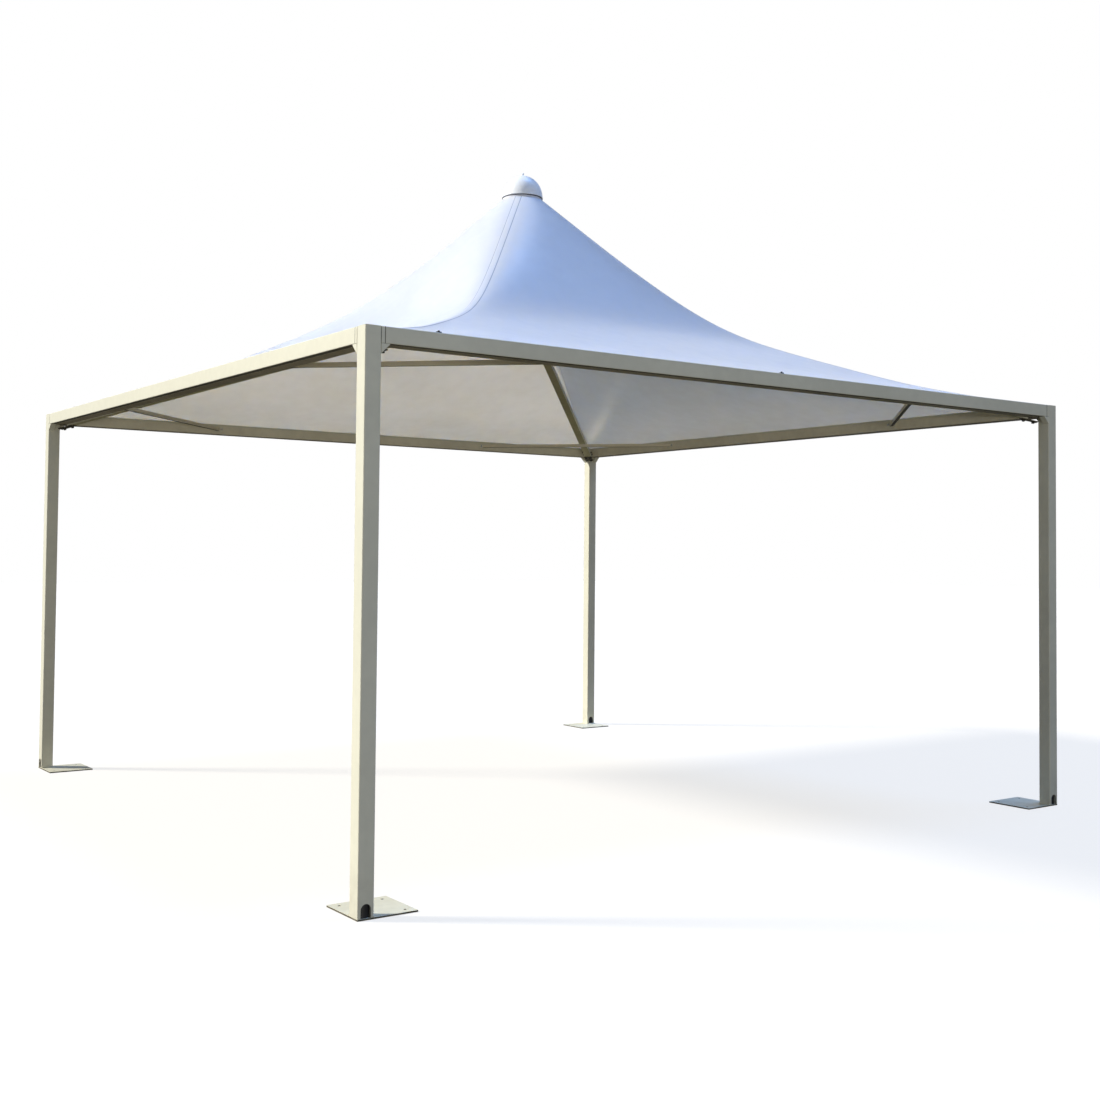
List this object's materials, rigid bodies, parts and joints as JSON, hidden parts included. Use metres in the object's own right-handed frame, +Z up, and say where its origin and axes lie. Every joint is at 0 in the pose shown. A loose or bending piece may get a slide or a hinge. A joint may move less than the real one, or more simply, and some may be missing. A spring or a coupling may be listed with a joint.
{
  "type": "garden gazebo",
  "caption": "Square open garden gazebo with slim box posts on foot plates, a flat beam frame with rain gutter and a tensioned pointed fabric roof under a small dome cap.",
  "frame": {"origin": "on the ground plane, at the middle of the square", "axes": "+Z up; +X and +Y along the two sides of the square, with the front side facing -Y"},
  "size_m": [5, 5, 4.2239],
  "materials": {
    "frame_paint": "cream powder coat, satin",
    "canopy_fabric": "white coated cloth, slightly glossy",
    "cap_plastic": "pale grey moulded plastic, satin",
    "cap_seal_rubber": "dark sealing strip"
  },
  "bodies": {
    "root": {"beam_back": "frame_paint", "beam_front": "frame_paint", "beam_left": "frame_paint", "beam_right": "frame_paint", "brace_back_left": "frame_paint", "brace_back_right": "frame_paint", "brace_front_left": "frame_paint", "brace_front_right": "frame_paint", "canopy_back": "canopy_fabric", "canopy_front": "canopy_fabric", "canopy_left": "canopy_fabric", "canopy_right": "canopy_fabric", "cap_knob": "cap_plastic", "cap_seal": "cap_seal_rubber", "crown_plate": "frame_paint", "dome_cap": "cap_plastic", "foot_plate_back_left": "frame_paint", "foot_plate_back_right": "frame_paint", "foot_plate_front_left": "frame_paint", "foot_plate_front_right": "frame_paint", "gusset_back_left": "frame_paint", "gusset_back_right": "frame_paint", "gusset_front_left": "frame_paint", "gusset_front_right": "frame_paint", "gusset_left_back": "frame_paint", "gusset_left_front": "frame_paint", "gusset_right_back": "frame_paint", "gusset_right_front": "frame_paint", "gutter_back": "frame_paint", "gutter_front": "frame_paint", "gutter_left": "frame_paint", "gutter_right": "frame_paint", "hub": "frame_paint", "mast": "frame_paint", "post_back_left": "frame_paint", "post_back_right": "frame_paint", "post_front_left": "frame_paint", "post_front_right": "frame_paint", "rafter_back_left": "frame_paint", "rafter_back_right": "frame_paint", "rafter_front_left": "frame_paint", "rafter_front_right": "frame_paint"}
  },
  "joints": []
}
